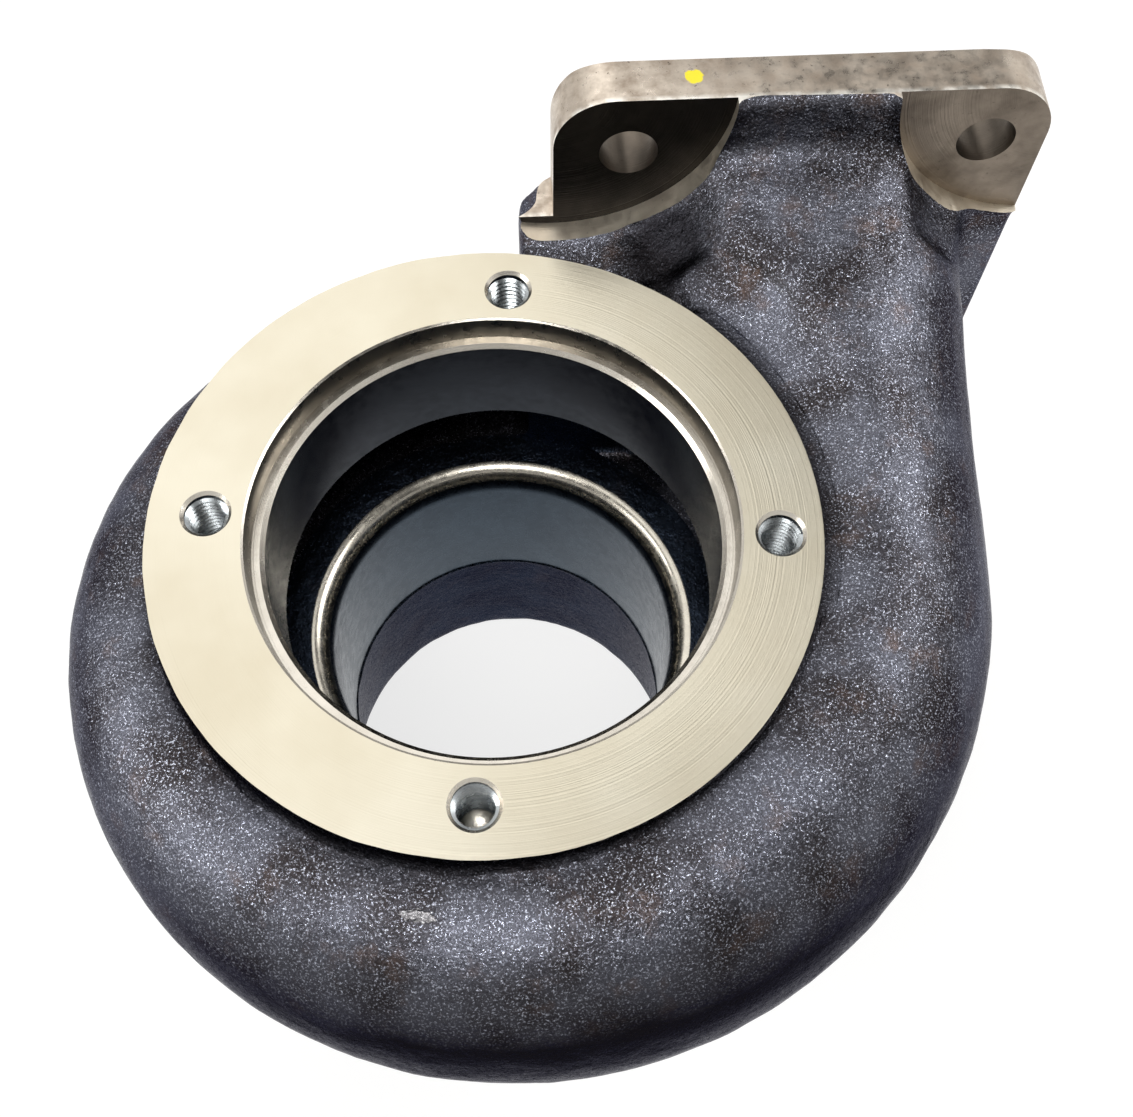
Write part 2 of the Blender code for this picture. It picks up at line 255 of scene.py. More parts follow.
# %% Shapes of stock
NECK_ROUNDING = 0.027
NECK_TAPER = 0.92


def sleeve(name, inner, outer, low, high, centre):
    """A tube round an upright axis."""
    wall = [(inner, low), (outer, low), (outer, high), (inner, high), (inner, low)]
    return turned(name, wall, Vector((centre.x, centre.y, 0)))


def tapered(name, low, high):
    """A rounded block whose end towards the scroll is drawn in."""
    item = block(name, low, high, bevel=NECK_ROUNDING, lengthways=Y, segments=10)
    middle = (Vector(low) + Vector(high)) / 2
    for vert in item.data.vertices:
        vert.select = vert.co.y < middle.y
    bpy.ops.object.mode_set(mode="EDIT")
    bpy.ops.mesh.select_mode(type="VERT")
    bpy.ops.transform.resize(value=(NECK_TAPER, 1, NECK_TAPER), center_override=middle)
    bpy.ops.object.mode_set(mode="OBJECT")
    return item


# %% Machining stock
BORE_WALLS, THROAT_WALLS = (0.038, 0.0440), (0.032, 0.0415)
BORE_STOCK_DEPTH, THROAT_STOCK_DEPTH, THROAT_STOCK_LOW = 0.031, 0.0425, 0.0515
PAD_HEIGHT, PAD_INSET = 0.005, 0.001
SINK = 0.002

stock = [
    sleeve("bore_stock", *BORE_WALLS, RING_Z - BORE_STOCK_DEPTH, RING_Z, AXIS),
    sleeve("throat_stock", *THROAT_WALLS, THROAT_STOCK_LOW, RING_Z - THROAT_STOCK_DEPTH,
           AXIS),
    block("plate_stock",
          (PLATE_LEFT - STOCK, FLANGE_BACK_Y - 0.0004, PLATE_LOW - STOCK),
          (PLATE_RIGHT + STOCK, INLET_Y + STOCK, PLATE_TOP + STOCK),
          bevel=PLATE_CORNER, lengthways=Y),
    tapered("neck_stock",
            (NECK_X - NECK_HALF.x, FLANGE_BACK_Y - 0.012, SCROLL_Z - NECK_HALF.y),
            (NECK_X + NECK_HALF.x, FLANGE_BACK_Y + SINK, SCROLL_Z + NECK_HALF.y)),
    block("web_stock",
          (FLANGE_X - 0.0566, FLANGE_BACK_Y - 0.030, SCROLL_Z - 0.028),
          (FLANGE_X - 0.0282, FLANGE_BACK_Y + SINK, SCROLL_Z + 0.0285),
          bevel=0.005, lengthways=Y, segments=4),
]
for name, centre in spot_centres.items():
    stock.append(rod(f"spot_pad_{name}", SPOT_RADIUS - PAD_INSET, centre,
                     FLANGE_BACK_Y - PAD_HEIGHT, FLANGE_BACK_Y + SINK))
casting = joined("housing_casting", [casting] + stock)
print("faces with stock:", len(casting.data.polygons))

# %% Melt it into one cast skin
VOXEL = 0.0010


def melted(item):
    activate(item)
    melt = item.modifiers.new("melt", "REMESH")
    melt.mode = "VOXEL"
    melt.voxel_size = VOXEL
    bpy.ops.object.modifier_apply(modifier=melt.name)


melted(casting)
print("faces after the first melt:", len(casting.data.polygons))

# %% [markdown]
# Beside each spot face the casting falls away from the plate, so the tool only
# touches the fillet there and leaves a narrow bright band. A cone takes that
# metal off each corner. The upper left one flares more, for a narrower band. On
# the right the same flare would cut through the neck's wall. The neck's top
# falls away to the ring's edge as well, and a turned cutter takes it off. Then
# the ring's stock goes on, and a second melt joins all the new faces into the
# skin.

# %% Fall away beside the spot faces
BAND = 0.0032
FALL_LENGTH = 0.0150
FALL_END_RADIUS = 0.0363
UPPER_LEFT_FALL_END_RADIUS = 0.0385


def fall_cutter(name, centre):
    deselect()
    upper_left = name == "fall_upper_left"
    end_radius = UPPER_LEFT_FALL_END_RADIUS if upper_left else FALL_END_RADIUS
    middle = Vector((centre.x, SPOT_FLOOR - BAND - FALL_LENGTH / 2, centre.z))
    bpy.ops.mesh.primitive_cone_add(vertices=64, radius1=SPOT_RADIUS,
                                    radius2=end_radius, depth=FALL_LENGTH,
                                    location=middle, rotation=(math.pi / 2, 0, 0))
    return settle(name)


# Radius, and height over the ring's face
RIM_FALL = [(0.0590, -0.0010), (0.0645, -0.0004), (0.0730, 0.0050), (0.0730, 0.0200),
            (0.0590, 0.0200), (0.0590, -0.0010)]
falls = [fall_cutter(f"fall_{name}", centre) for name, centre in spot_centres.items()]
rim_fall = turned("rim_fall", RIM_FALL, cast_axis + Vector((0, 0, RING_Z)))
cut(casting, [joined("falls", falls), rim_fall])
print("faces after the falls:", len(casting.data.polygons))

# %% Put on the ring's stock, melt again and soften
RING_STOCK_DEPTH, RING_STOCK_HEIGHT = 0.0095, 0.005
SOFTENING = 22

ring_stock = sleeve("ring_stock", BORE_WALLS[0], RING_RADIUS, RING_Z - RING_STOCK_DEPTH,
                    RING_Z + RING_STOCK_HEIGHT, cast_axis)
casting = joined("housing_casting", [casting, ring_stock])
melted(casting)
soften = casting.modifiers.new("soften", "SMOOTH")
soften.factor = 0.5
soften.iterations = SOFTENING
bpy.ops.object.modifier_apply(modifier=soften.name)
print("faces after the remesh:", len(casting.data.polygons))

# %% [markdown]
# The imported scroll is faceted, because a solid for simulation needs few faces.
# Its true form is simple, though: every section is an ellipse, and its width
# follows from the rule that the gas passage's area over its radius falls evenly
# round the axis. So each point of the skin that lies close to the true ellipse
# is moved onto it, outside and inside, which makes the silhouette smooth.

# %% Round the scroll
TONGUE_RADIUS, SCROLL_RATIO, WALL, ASPECT = 0.0483, 0.0248, 0.0062, 1.25
ZERO_ANGLE = math.radians(-308)
FIRST, LAST, FADE = math.radians(-3), math.radians(-285), math.radians(8)
CLOSE = 0.0009
INNER_LIMIT, INNER_FADE = -0.35, 0.3


def gas_half_width(angle):
    share = max((angle - ZERO_ANGLE) / math.tau, 0.0) * SCROLL_RATIO / math.pi
    return (share + math.sqrt(share ** 2 + 4 * share * TONGUE_RADIUS)) / 2


def clamped(value):
    return max(0.0, min(1.0, value))


moved = 0
for vert in casting.data.vertices:
    x, y, z = vert.co - cast_axis
    angle = math.atan2(y, x)
    if angle > 0:
        angle -= math.tau
    if not LAST < angle < FIRST:
        continue
    reach, rise = math.hypot(x, y), z - SCROLL_Z
    half = gas_half_width(angle)
    for wall in (WALL, 0.0):
        wide = half + wall
        tall = ASPECT * (half + WALL) - WALL + wall
        u, v = (reach - TONGUE_RADIUS - half) / wide, rise / tall
        size = math.hypot(u, v)
        gap = abs(size - 1) * wide
        if gap > CLOSE or u < INNER_LIMIT:
            continue
        share = clamped(2 * (1 - gap / CLOSE)) * clamped((u - INNER_LIMIT) / INNER_FADE)
        share *= clamped((FIRST - angle) / FADE) * clamped((angle - LAST) / FADE)
        step = share * (1 / size - 1)
        out = 1 + step * u * wide / reach
        vert.co = cast_axis + Vector((x * out, y * out, z + step * v * tall))
        moved += 1
        break
print("points moved onto the true scroll:", moved)

# %% [markdown]
# One skin of this fineness has more faces than it needs on its flat stretches.
# Decimate folds the needless ones away and keeps the shape. Then a Displace
# modifier with a cloud texture adds the faint unevenness of a sand mould, which
# is what makes the highlights on real castings wander.

# %% Thin the skin and give it the mould's unevenness
KEPT_FACES = 0.42
LUMP_SIZE = 0.007
LUMP_HEIGHT = 0.0004

thin = casting.modifiers.new("thin", "DECIMATE")
thin.ratio = KEPT_FACES
bpy.ops.object.modifier_apply(modifier=thin.name)
sand = bpy.data.textures.new("sand_mould", "CLOUDS")
sand.noise_scale = LUMP_SIZE
sand.noise_depth = 2
uneven = casting.modifiers.new("uneven", "DISPLACE")
uneven.texture = sand
uneven.texture_coords = "LOCAL"
uneven.strength = LUMP_HEIGHT
uneven.mid_level = 0.5
bpy.ops.object.modifier_apply(modifier=uneven.name)
print("faces in the casting:", len(casting.data.polygons))

# %% [markdown]
# The finishes. Every one is made from a few nodes on Object coordinates, scaled
# to millimetres so that a noise of scale 1 has grains of about a millimetre.
# Cast skin is dark, a little metallic and full of fine grains. Machined steel is
# bright, and its tool marks are rings round the axis it was turned on, so the
# bump reads only the distance from that axis.

# %% Node helpers
def new_material(name, base, metallic, roughness):
    """A Principled material and a vector in millimetres to build patterns on."""
    material = bpy.data.materials.new(name)
    material.use_nodes = True
    tree = material.node_tree
    shader = tree.nodes["Principled BSDF"]
    shader.inputs["Base Color"].default_value = (*base, 1.0)
    shader.inputs["Metallic"].default_value = metallic
    shader.inputs["Roughness"].default_value = roughness
    place = tree.nodes.new("ShaderNodeTexCoord")
    scale = tree.nodes.new("ShaderNodeMapping")
    scale.inputs["Scale"].default_value = (1000, 1000, 1000)
    tree.links.new(place.outputs["Object"], scale.inputs["Vector"])
    return material, tree, shader, scale.outputs["Vector"]


def noise(tree, vector, scale, detail=2.0, roughness=0.5):
    node = tree.nodes.new("ShaderNodeTexNoise")
    node.inputs["Scale"].default_value = scale
    node.inputs["Detail"].default_value = detail
    node.inputs["Roughness"].default_value = roughness
    tree.links.new(vector, node.inputs["Vector"])
    return node.outputs["Fac"]


def spread(tree, value, low, high, to_low=0.0, to_high=1.0):
    """Stretch a value between two limits onto a new range."""
    node = tree.nodes.new("ShaderNodeMapRange")
    node.inputs["From Min"].default_value = low
    node.inputs["From Max"].default_value = high
    node.inputs["To Min"].default_value = to_low
    node.inputs["To Max"].default_value = to_high
    tree.links.new(value, node.inputs["Value"])
    return node.outputs["Result"]


def mixed(tree, share, first, second):
    """A colour between two others; each is a socket or three numbers."""
    node = tree.nodes.new("ShaderNodeMix")
    node.data_type = "RGBA"
    tree.links.new(share, node.inputs[0])
    for socket, colour in ((node.inputs[6], first), (node.inputs[7], second)):
        if isinstance(colour, tuple):
            socket.default_value = (*colour, 1.0)
        else:
            tree.links.new(colour, socket)
    return node.outputs[2]


def bumped(tree, shader, height, distance, strength=1.0, under=None):
    """Add a bump in millimetres and return its normal."""
    node = tree.nodes.new("ShaderNodeBump")
    node.inputs["Strength"].default_value = strength
    node.inputs["Distance"].default_value = distance / 1000
    tree.links.new(height, node.inputs["Height"])
    if under is not None:
        tree.links.new(under, node.inputs["Normal"])
    tree.links.new(node.outputs["Normal"], shader.inputs["Normal"])
    return node.outputs["Normal"]


def from_line(tree, vector, centre, across):
    """Distance in millimetres from a line: across names the two axes it crosses."""
    move = tree.nodes.new("ShaderNodeVectorMath")
    move.operation = "SUBTRACT"
    move.inputs[1].default_value = tuple(1000 * c for c in centre)
    tree.links.new(vector, move.inputs[0])
    flat = tree.nodes.new("ShaderNodeVectorMath")
    flat.operation = "MULTIPLY"
    flat.inputs[1].default_value = tuple(float(axis in across) for axis in "XYZ")
    tree.links.new(move.outputs["Vector"], flat.inputs[0])
    length = tree.nodes.new("ShaderNodeVectorMath")
    length.operation = "LENGTH"
    tree.links.new(flat.outputs["Vector"], length.inputs[0])
    return length.outputs["Value"]


def grooves(tree, distance, scale, detail=3.0):
    """Noise that changes only with a distance, so it makes rings or arcs."""
    pack = tree.nodes.new("ShaderNodeCombineXYZ")
    tree.links.new(distance, pack.inputs["X"])
    return noise(tree, pack.outputs["Vector"], scale, detail, 0.6)


def along(tree, vector, direction):
    """How far a point lies along a direction, in millimetres."""
    node = tree.nodes.new("ShaderNodeVectorMath")
    node.operation = "DOT_PRODUCT"
    node.inputs[1].default_value = direction
    tree.links.new(vector, node.inputs[0])
    return node.outputs["Value"]


def maths(tree, operation, first, second, factor=None):
    """One step of arithmetic on two values; a factor scales the first one."""
    node = tree.nodes.new("ShaderNodeMath")
    node.operation = operation
    tree.links.new(first, node.inputs[0])
    if factor is not None:
        node.inputs[1].default_value = factor
    tree.links.new(second, node.inputs[1 if factor is None else 2])
    return node.outputs["Value"]


# %% [markdown]
# Sand leaves iron with a gritty, half metallic skin. A flat colour would look
# like paint, so the nodes lay large patches of two tones, fine bright grains and
# faint rust over each other, and two bumps, one coarse and one fine, break up
# the light. The bright grains are partly the iron's own grain and partly painted
# glints. Painted shade darkens the front flank, the metal beside the ring and the
# valley by the neck. That could be painted by hand, but a mask worked out from
# places on the housing stays put and can be changed by a number.

# %% Where painted shade darkens the skin
# Limits are in millimetres; the last number for the rim and for the valley is how much
# colour the darkest painted shade keeps
SHADE_LEAN = (-0.07, 0.27, 1.0)
SHADE_UNEVEN = 10.0
SHADE_FADE = (102.0, 120.0)
BACKWARDS = (-0.35, 1, 0)
BACK_FADE = (-55, -15)
RIM_FADE, RIM_UNSHADED_SHARE = (60.5, 64.0), 0.15
RIM_SHADE_HEIGHT = (88, 100)
VALLEY = Vector((0.0225, 0.064, 0.1345))
VALLEY_FADE, VALLEY_UNSHADED_SHARE = (7.0, 17.0), 0.10


def unshaded(tree, mm):
    """From 0 where painted shade darkens the skin to 1 where it is unshaded."""
    lift = maths(tree, "MULTIPLY_ADD", noise(tree, mm, 0.05, 3.0),
                 along(tree, mm, SHADE_LEAN), SHADE_UNEVEN)
    high = spread(tree, lift, *SHADE_FADE)
    behind = spread(tree, along(tree, mm, BACKWARDS), *BACK_FADE)
    flank = maths(tree, "MAXIMUM", high, behind)
    off_rim = spread(tree, from_line(tree, mm, cast_axis, "XY"), *RIM_FADE, RIM_UNSHADED_SHARE)
    low = spread(tree, along(tree, mm, (0, 0, 1)), *RIM_SHADE_HEIGHT, 1.0, 0.0)
    rim = maths(tree, "MAXIMUM", off_rim, low)
    valley = spread(tree, from_line(tree, mm, VALLEY, "XYZ"), *VALLEY_FADE, VALLEY_UNSHADED_SHARE)
    return maths(tree, "MULTIPLY", maths(tree, "MULTIPLY", flank, rim), valley)


# %% Cast skin
RUST = (0.13, 0.085, 0.065)
EDGE_TINT = (0.40, 0.40, 0.45, 1.0)


def cast_finish(name, dark, light, rust_share, sheen, shaded=None):
    """Sand-cast iron: two tones, faint rust, bright grains that are partly painted
    glints, a gritty bump and, where a shaded colour is given, painted shade.
    """
    material, tree, shader, mm = new_material(name, dark, 0.95, 0.3)
    shader.inputs["Specular Tint"].default_value = EDGE_TINT
    patches = spread(tree, noise(tree, mm, 0.07, 4.0), 0.38, 0.62)
    # Bright grains: partly the iron's own grain, partly painted glints
    grains_and_glints = spread(tree, noise(tree, mm, 2.6, 3.0, 0.8), 0.55, 0.70)
    tones = mixed(tree, patches, dark, sheen)
    colour = mixed(tree, grains_and_glints, tones, light)
    rust = spread(tree, noise(tree, mm, 0.11, 5.0, 0.65), 0.56, 0.74, 0.0, rust_share)
    colour = mixed(tree, rust, colour, RUST)
    # Painted shade: the front flank, the ring's edge and the valley by the neck get a
    # near-black colour
    if shaded:
        colour = mixed(tree, unshaded(tree, mm), shaded, colour)
    tree.links.new(colour, shader.inputs["Base Color"])
    gloss = spread(tree, noise(tree, mm, 1.3, 2.0), 0.3, 0.7, 0.17, 0.32)
    tree.links.new(gloss, shader.inputs["Roughness"])
    coarse = bumped(tree, shader, noise(tree, mm, 0.42, 3.0), 0.36, 0.9)
    bumped(tree, shader, noise(tree, mm, 1.9, 3.0, 0.6), 0.20, 1.0, coarse)
    return material


# The last colour is the painted shade on the front flank, by the ring and in the valley;
# the light colour makes grains that are partly painted glints
cast_skin = cast_finish("cast_skin", (0.028, 0.024, 0.025), (0.72, 0.75, 0.87),
                        0.5, (0.086, 0.088, 0.106), (0.008, 0.007, 0.008))
cast_throat = cast_finish("cast_gas_wall", (0.012, 0.016, 0.024), (0.06, 0.07, 0.09),
                          0.15, (0.022, 0.030, 0.045))
print("cast finishes:", cast_skin.name, cast_throat.name)

# %% [markdown]
# A turning or milling tool leaves rings on what it cuts. They could come from an
# image, but noise that reads only the distance from the tool's own line gives
# true rings at any size and needs no unwrapping. So every machined finish says
# which line its tool turned round. Smears of stain and a few dark specks keep
# the metal from looking new.

# %% Turned and milled steel
def steel_finish(name, base, stain, roughness, rings, depth, wear=0.5, speck=0.35,
                 blotch=0.09, dulling=0.05):
    """Machined iron with tool rings; rings gives the tool's centre and axes."""
    material, tree, shader, mm = new_material(name, base, 1.0, roughness)
    smears = spread(tree, noise(tree, mm, blotch, 4.0, 0.6), 0.38, 0.68, 0.0, wear)
    specks = spread(tree, noise(tree, mm, 1.1, 2.0, 0.6), 0.66, 0.76, 0.0, speck)
    colour = mixed(tree, smears, base, stain)
    dark = tuple(0.35 * part for part in stain)
    tree.links.new(mixed(tree, specks, colour, dark), shader.inputs["Base Color"])
    dull = spread(tree, noise(tree, mm, 0.5, 3.0), 0.3, 0.7,
                  roughness - dulling, roughness + dulling)
    tree.links.new(dull, shader.inputs["Roughness"])
    distance = from_line(tree, mm, *rings)
    fine = bumped(tree, shader, noise(tree, mm, 2.2, 2.0), 0.012, 0.6)
    bumped(tree, shader, grooves(tree, distance, 2.8), depth, 0.8, fine)
    return material


TURNED = (AXIS, "XY")
ring_steel = steel_finish("ring_face", (0.63, 0.585, 0.47), (0.50, 0.44, 0.32),
                          0.28, TURNED, 0.06, 0.6, 0.0, 0.022, 0.0)
lip_steel = steel_finish("seat_lip", (0.60, 0.56, 0.49), (0.44, 0.40, 0.34),
                         0.24, TURNED, 0.04, 0.5, 0.1)
recess_steel = steel_finish("recess_wall", (0.22, 0.20, 0.17), (0.12, 0.11, 0.10),
                            0.30, TURNED, 0.03)
bore_steel = steel_finish("bearing_bore_wall", (0.034, 0.040, 0.050),
                          (0.018, 0.021, 0.027), 0.22, TURNED, 0.03)
shoulder_steel = steel_finish("contour_shoulder", (0.58, 0.54, 0.46),
                              (0.40, 0.37, 0.32), 0.26, TURNED, 0.03, 0.4, 0.1)
throat_steel = steel_finish("throat_wall", (0.045, 0.066, 0.090), (0.028, 0.042, 0.06),
                            0.28, TURNED, 0.03)
thread_steel = steel_finish("tapped_thread", (0.50, 0.53, 0.54), (0.28, 0.30, 0.31),
                            0.26, TURNED, 0.01)
strip_steel = steel_finish("flange_edge", (0.62, 0.54, 0.45), (0.30, 0.235, 0.18),
                           0.36, ((0, 0, 0), "Z"), 0.05, 0.8, 0.9, 0.25, 0.12)
face_steel = steel_finish("inlet_face", (0.40, 0.38, 0.34), (0.28, 0.25, 0.21),
                          0.36, ((0, 0, 0), "X"), 0.03, 0.6)
drill_steel = steel_finish("drilled_wall", (0.85, 0.77, 0.63), (0.50, 0.42, 0.33),
                           0.42, ((0, 0, 0), "Y"), 0.04, 0.6)
bolt_steel = steel_finish("bolt_hole_wall", (0.15, 0.125, 0.10), (0.07, 0.06, 0.05),
                          0.34, ((0, 0, 0), "Y"), 0.06, 0.7)
print("materials made:", len(bpy.data.materials))

# %% [markdown]
# Two marks belong to the flange's edge alone: a dab of yellow paint with a
# ragged outline, and a rear corner that is worn bright in places and also
# carries a painted highlight where a chamfer would catch the light. The dab
# could be a thin object of its own, but as a mask in the material it lies flush
# with the metal. Both marks are laid over the colour that the finish already has.

# %% Paint dab and worn corner with a painted highlight
PAINT_PLACE = AXIS + Vector((0.0410, INLET_Y - AXIS.y - 0.00525, 0))
PAINT_EDGE, PAINT_RAGGED = (2.35, 2.65), 1.6
WORN_LIT_EDGE = (1000 * FLANGE_BACK_Y + 1.6, 1000 * FLANGE_BACK_Y + 2.6)
PAINT, BARE_METAL_HIGHLIGHT = (0.80, 0.66, 0.02), (0.92, 0.88, 0.80)

tree = strip_steel.node_tree
shader = tree.nodes["Principled BSDF"]
mm = next(node for node in tree.nodes if node.type == "MAPPING").outputs["Vector"]
steel_colour = shader.inputs["Base Color"].links[0].from_socket
# The rear corner: wear plus a painted highlight along the edge
worn_and_lit = spread(tree, along(tree, mm, (0, 1, 0)), *WORN_LIT_EDGE, 1.0, 0.0)
places = spread(tree, noise(tree, mm, 0.3, 3.0), 0.35, 0.55)
edged = mixed(tree, maths(tree, "MULTIPLY", worn_and_lit, places), steel_colour, BARE_METAL_HIGHLIGHT)
ragged = maths(tree, "MULTIPLY_ADD", noise(tree, mm, 0.9, 2.0),
               from_line(tree, mm, PAINT_PLACE, "XY"), PAINT_RAGGED)
dab = spread(tree, ragged, *PAINT_EDGE, 1.0, 0.0)
tree.links.new(mixed(tree, dab, edged, PAINT), shader.inputs["Base Color"])
tree.links.new(spread(tree, dab, 0.0, 1.0, 1.0, 0.0), shader.inputs["Metallic"])
print("paint dab at", PAINT_PLACE)

# %% [markdown]
# Now the machine shop. Every cutter below is solid, and its faces already wear
# the finish that its tool leaves. The Boolean modifier's Transfer mode hands
# those materials to the faces it cuts, so a bright bore and a dark casting meet
# in one clean edge, with no painting afterwards.

# %% Dress a cutter
def dress(cutter, choose):
    """Give each face of a cutter the finish that its tool leaves there."""
    finishes = []
    for face in cutter.data.polygons:
        finish = choose(face)
        if finish not in finishes:
            finishes.append(finish)
            cutter.data.materials.append(finish)
        face.material_index = finishes.index(finish)
    return cutter


# %% Give the casting its skin, and its hollows the gas wall's finish
INWARDS = -0.3
THROAT_REACH, SCROLL_REACH = 0.047, 0.056
OUTLET_TOP = RING_Z - 0.086
SCROLL_LOW = OUTLET_TOP + 0.03

casting.data.materials.clear()
casting.data.materials.append(cast_skin)
casting.data.materials.append(cast_throat)
for face in casting.data.polygons:
    outwards = Vector((face.center.x - AXIS.x, face.center.y - AXIS.y, 0.0))
    inner = face.normal.dot(outwards.normalized()) < INWARDS
    limit = SCROLL_REACH if face.center.z > SCROLL_LOW else THROAT_REACH
    face.material_index = int(inner and outwards.length < limit)
print("inner cast faces:", sum(f.material_index for f in casting.data.polygons))

# %% [markdown]
# A lathe cuts everything that is round about the turbine axis. That could be one
# cylinder for each bore, but a single profile keeps every step and chamfer in
# line. It faces the ring, then runs down the recess and the bore, past the slot
# that feeds the wheel, over the rounded shoulder of the wheel's contour and down
# the throat. Each stretch has its own finish, and a face takes the finish of the
# stretch whose middle is nearest. A narrow sleeve then clears the cast skin just
# outside the ring's rim.

# %% Profile of the turning
SHOULDER_STEPS, BRIGHT_STEPS = 8, 5
SHOULDER_RADIUS, SHOULDER_DEPTH = 39.2, 45.4
SHOULDER_IN, SHOULDER_DOWN = 4.05, 6.5
THROAT_RADIUS = 35.15

shoulder = []
for i in range(1, SHOULDER_STEPS + 1):
    swing = math.pi / 2 * i / SHOULDER_STEPS
    shoulder.append((SHOULDER_RADIUS - SHOULDER_IN * math.sin(swing),
                     SHOULDER_DEPTH + SHOULDER_DOWN * (1 - math.cos(swing)),
                     shoulder_steel if i <= BRIGHT_STEPS else throat_steel))
# Radius and depth in millimetres, and the finish of the face that ends there
turning = [(0.0, -30.0, ring_steel), (61.5, -30.0, cast_skin),
           (61.5, 0.0, cast_skin), (44.5, 0.0, ring_steel), (44.1, 0.3, lip_steel),
           (43.6, 5.0, recess_steel), (42.1, 5.0, lip_steel), (41.3, 5.8, lip_steel),
           (41.3, 28.0, bore_steel), (46.0, 28.0, cast_throat),
           (46.0, 45.9, cast_throat), (SHOULDER_RADIUS, SHOULDER_DEPTH, cast_throat),
           *shoulder, (THROAT_RADIUS, 86.9, throat_steel), (35.3, 87.1, cast_throat),
           (0.0, 87.1, cast_throat)]
print("stretches in the profile:", len(turning) - 1)

# %% Turned surfaces
RELIEF_WALLS = (0.0601, 0.0632)
RELIEF_DEPTH, RELIEF_HEIGHT = 0.0005, 0.020

middles = [(Vector((a[0] + b[0], a[1] + b[1])) / 2000, b[2])
           for a, b in zip(turning, turning[1:])]


def turned_finish(face):
    reach = math.hypot(face.center.x - AXIS.x, face.center.y - AXIS.y)
    place = Vector((reach, RING_Z - face.center.z))
    return min(middles, key=lambda middle: (middle[0] - place).length)[1]


lathe_cut = turned("lathe_cut", [(r / 1000, -depth / 1000) for r, depth, _ in turning],
                   AXIS + Vector((0, 0, RING_Z)))
rim_relief = sleeve("rim_relief", *RELIEF_WALLS, RING_Z - RELIEF_DEPTH,
                    RING_Z + RELIEF_HEIGHT, cast_axis)
cut(casting, [dress(lathe_cut, turned_finish),
              dress(rim_relief, lambda face: cast_skin)], transfer=True)
print("faces after turning:", len(casting.data.polygons))

# %% [markdown]
# Studs in four holes of the ring hold the bearing housing. Hole, countersink and
# drill point could be three cuts, but a drill turned from one profile makes them
# at once: a wide cone on top, a straight wall and a blunt point. The mill that
# faces the inlet flange touches none of them, so it cuts in the same step.

# %% Stud holes and the mating face
BEYOND = 0.02
STUD_RADIUS, STUD_CIRCLE = 0.0040, 0.0511
STUD_ANGLES = [math.radians(-5.1 + 90 * i) for i in range(4)]
STUD_PROFILE = [(0.0, 0.003), (0.0076, 0.003), (STUD_RADIUS, -0.0006),
                (STUD_RADIUS, -0.016), (0.0, -0.0184)]
stud_tops = [AXIS + Vector((STUD_CIRCLE * math.cos(a), STUD_CIRCLE * math.sin(a), RING_Z))
             for a in STUD_ANGLES]


def stud_finish(face):
    return bore_steel if abs(face.normal.z) < 0.2 else lip_steel


drills = [dress(turned(f"stud_drill_{i + 1}", STUD_PROFILE, place, 48), stud_finish)
          for i, place in enumerate(stud_tops)]
mill = dress(block("face_mill", (PLATE_LEFT - BEYOND, INLET_Y, PLATE_LOW - BEYOND),
                   (PLATE_RIGHT + BEYOND, INLET_Y + 0.01, PLATE_TOP + BEYOND)),
             lambda face: face_steel)
cut(casting, [joined("stud_drills_and_mill", drills + [mill])], transfer=True)
print("faces after drilling:", len(casting.data.polygons))

# %% [markdown]
# The flange's edges are milled flat, with round corners. The plate could have
# been cast at its finished size, but the remesh would have softened its edges,
# so a frame-shaped cutter trims it: a big block, out of which the finished plate
# and the ear on its left are cut first.

# %% Flange edges
EAR_HALF = 0.0285
FRAME = 0.05

edge_cut = block("edge_cut",
                 (PLATE_LEFT - FRAME, FLANGE_BACK_Y - 0.001, PLATE_LOW - FRAME),
                 (PLATE_RIGHT + FRAME, INLET_Y + 0.005, PLATE_TOP + FRAME))
kept_plate = block("kept_plate", (PLATE_LEFT, FLANGE_BACK_Y - 0.01, PLATE_LOW),
                   (PLATE_RIGHT, INLET_Y + 0.02, PLATE_TOP),
                   bevel=PLATE_CORNER, lengthways=Y, segments=14)
kept_ear = block("kept_ear",
                 (PLATE_LEFT - 0.06, FLANGE_BACK_Y - 0.01, SCROLL_Z - EAR_HALF),
                 (PLATE_LEFT + 0.02, INLET_Y + 0.02, SCROLL_Z + EAR_HALF))
cut(edge_cut, [kept_plate, kept_ear])
cut(casting, [dress(edge_cut, lambda face: strip_steel)], transfer=True)
print("faces after the edges:", len(casting.data.polygons))

# %% [markdown]
# A bolt head needs a flat seat, so a round cutter spot faces each corner of the
# flange's back. A seat could be a disc laid on top, but only a real cut leaves
# the crescent where the tool bites into the casting beside it. The upper left
# seat is stained almost black and the upper right one is browned metal. The
# lower two are hidden from the camera and get a tone between them.

# %% Spot faces, port and bolt holes
BOLT, BOLT_RADIUS = Vector((0.034925, 0, 0.04605)), 0.0057
PORT_HALF_WIDTH, PORT_HALF_HEIGHT, PORT_ROUNDING = 0.0285, 0.0355, 0.017
PORT_X = FLANGE_X + CAST_SHIFT
HIDDEN_SEAT = ((0.16, 0.14, 0.12), (0.08, 0.07, 0.06))
SEATS = {"upper_left": ((0.030, 0.027, 0.025), (0.012, 0.011, 0.011)),
         "upper_right": ((0.24, 0.20, 0.16), (0.10, 0.080, 0.062)),
         "lower_left": HIDDEN_SEAT, "lower_right": HIDDEN_SEAT}

